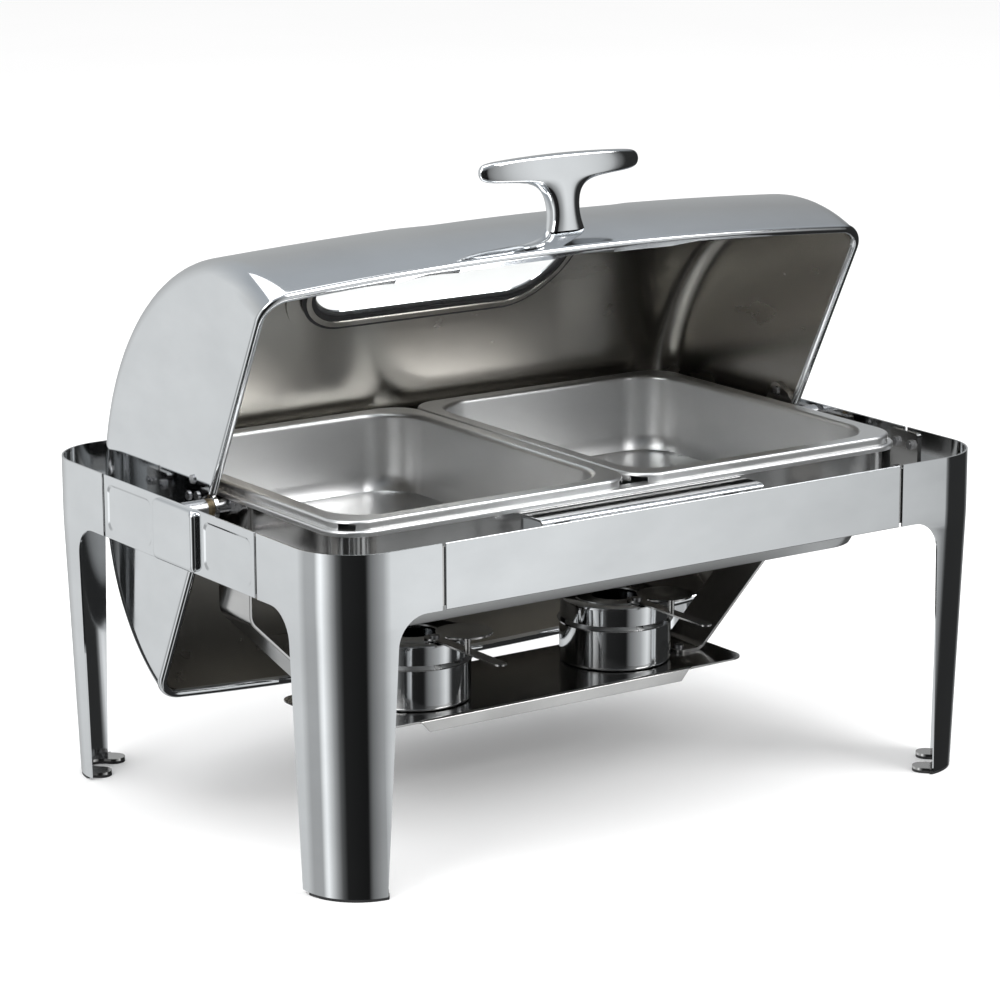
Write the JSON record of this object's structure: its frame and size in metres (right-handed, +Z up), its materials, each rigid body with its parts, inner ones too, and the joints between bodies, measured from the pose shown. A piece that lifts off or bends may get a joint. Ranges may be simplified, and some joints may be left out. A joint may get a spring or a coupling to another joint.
{
  "type": "roll top chafer",
  "caption": "Rectangular roll top chafer: legged frame, water pan with food pans, pivoting lid with window and handle, and fuel holders on a hanging shelf.",
  "frame": {"origin": "centre of the frame's footprint on the surface it stands on", "axes": "+X along the long side, +Y from the serving side to the back, +Z up"},
  "size_m": [0.632, 0.442, 0.5082],
  "materials": {
    "polished_steel": "mirror polished stainless steel",
    "satin_steel": "satin pressed stainless steel",
    "dark_steel": "plain mill finish steel sheet",
    "fastener_steel": "turned steel",
    "black_rubber": "matt rubber",
    "bush_bronze": "sintered bronze",
    "clear_glass": "clear tempered glass"
  },
  "bodies": {
    "frame": {"leg_front_left": "polished_steel", "leg_front_right": "polished_steel", "leg_rear_left": "polished_steel", "leg_rear_right": "polished_steel", "front_panel": "polished_steel", "rear_panel": "polished_steel", "left_panel": "polished_steel", "right_panel": "polished_steel", "joint_straps": "dark_steel", "strap_nuts": "fastener_steel", "foot_plates": "dark_steel", "foot_pads": "black_rubber", "pan_support_ring": "dark_steel", "front_ledge": "polished_steel", "ledge_screws": "fastener_steel", "closing_bumpers": "black_rubber", "pivot_plates": "dark_steel", "pivot_covers": "polished_steel", "pivot_bolts": "fastener_steel", "outer_spacers": "fastener_steel", "inner_spacers": "fastener_steel", "pivot_nuts": "fastener_steel", "stop_pins": "fastener_steel", "hanger_left": "dark_steel", "hanger_right": "dark_steel", "hanger_rivets": "fastener_steel", "burner_shelf": "dark_steel", "shelf_screws": "fastener_steel"},
    "lid": {"lid_shell": "polished_steel", "lid_rim": "polished_steel", "hinge_plates": "dark_steel", "hinge_bushes": "bush_bronze", "hinge_rivets": "fastener_steel", "lid_window": "clear_glass", "window_seal": "black_rubber", "lid_handle": "polished_steel", "handle_screws": "fastener_steel"},
    "water_pan": {"water_pan": "satin_steel"},
    "food_pan_left": {"food_pan_left": "satin_steel"},
    "food_pan_right": {"food_pan_right": "satin_steel"},
    "holder_left": {"holder_left": "polished_steel"},
    "cap_left": {"cap_left": "polished_steel", "snuffer_rivets_left": "fastener_steel"},
    "snuffer_left": {"snuffer_left": "dark_steel"},
    "holder_right": {"holder_right": "polished_steel"},
    "cap_right": {"cap_right": "polished_steel", "snuffer_rivets_right": "fastener_steel"},
    "snuffer_right": {"snuffer_right": "dark_steel"}
  },
  "joints": [
    {"name": "lid_hinge", "type": "hinge", "parent": "frame", "child": "lid", "pos_m": [0, 0, 0.256], "axis": [1, 0, 0], "range_deg": [0, 63]},
    {"name": "water_pan_lift", "type": "slide", "parent": "frame", "child": "water_pan", "axis": [0, 0, 1], "range_m": [0, 0.008]},
    {"name": "food_pan_left_lift", "type": "slide", "parent": "water_pan", "child": "food_pan_left", "axis": [0, 0, 1], "range_m": [0, 0.012]},
    {"name": "food_pan_right_lift", "type": "slide", "parent": "water_pan", "child": "food_pan_right", "axis": [0, 0, 1], "range_m": [0, 0.012]},
    {"name": "holder_left_lift", "type": "slide", "parent": "frame", "child": "holder_left", "axis": [0, 0, 1], "range_m": [0, 0.018]},
    {"name": "cap_left_lift", "type": "slide", "parent": "holder_left", "child": "cap_left", "axis": [0, 0, 1], "range_m": [0, 0.016]},
    {"name": "snuffer_left_swivel", "type": "hinge", "parent": "cap_left", "child": "snuffer_left", "pos_m": [-0.099, -0.03, 0.131], "axis": [0, 0, 1], "range_deg": [0, 88]},
    {"name": "holder_right_lift", "type": "slide", "parent": "frame", "child": "holder_right", "axis": [0, 0, 1], "range_m": [0, 0.018]},
    {"name": "cap_right_lift", "type": "slide", "parent": "holder_right", "child": "cap_right", "axis": [0, 0, 1], "range_m": [0, 0.016]},
    {"name": "snuffer_right_swivel", "type": "hinge", "parent": "cap_right", "child": "snuffer_right", "pos_m": [0.099, -0.03, 0.131], "axis": [0, 0, 1], "range_deg": [0, 88]}
  ]
}
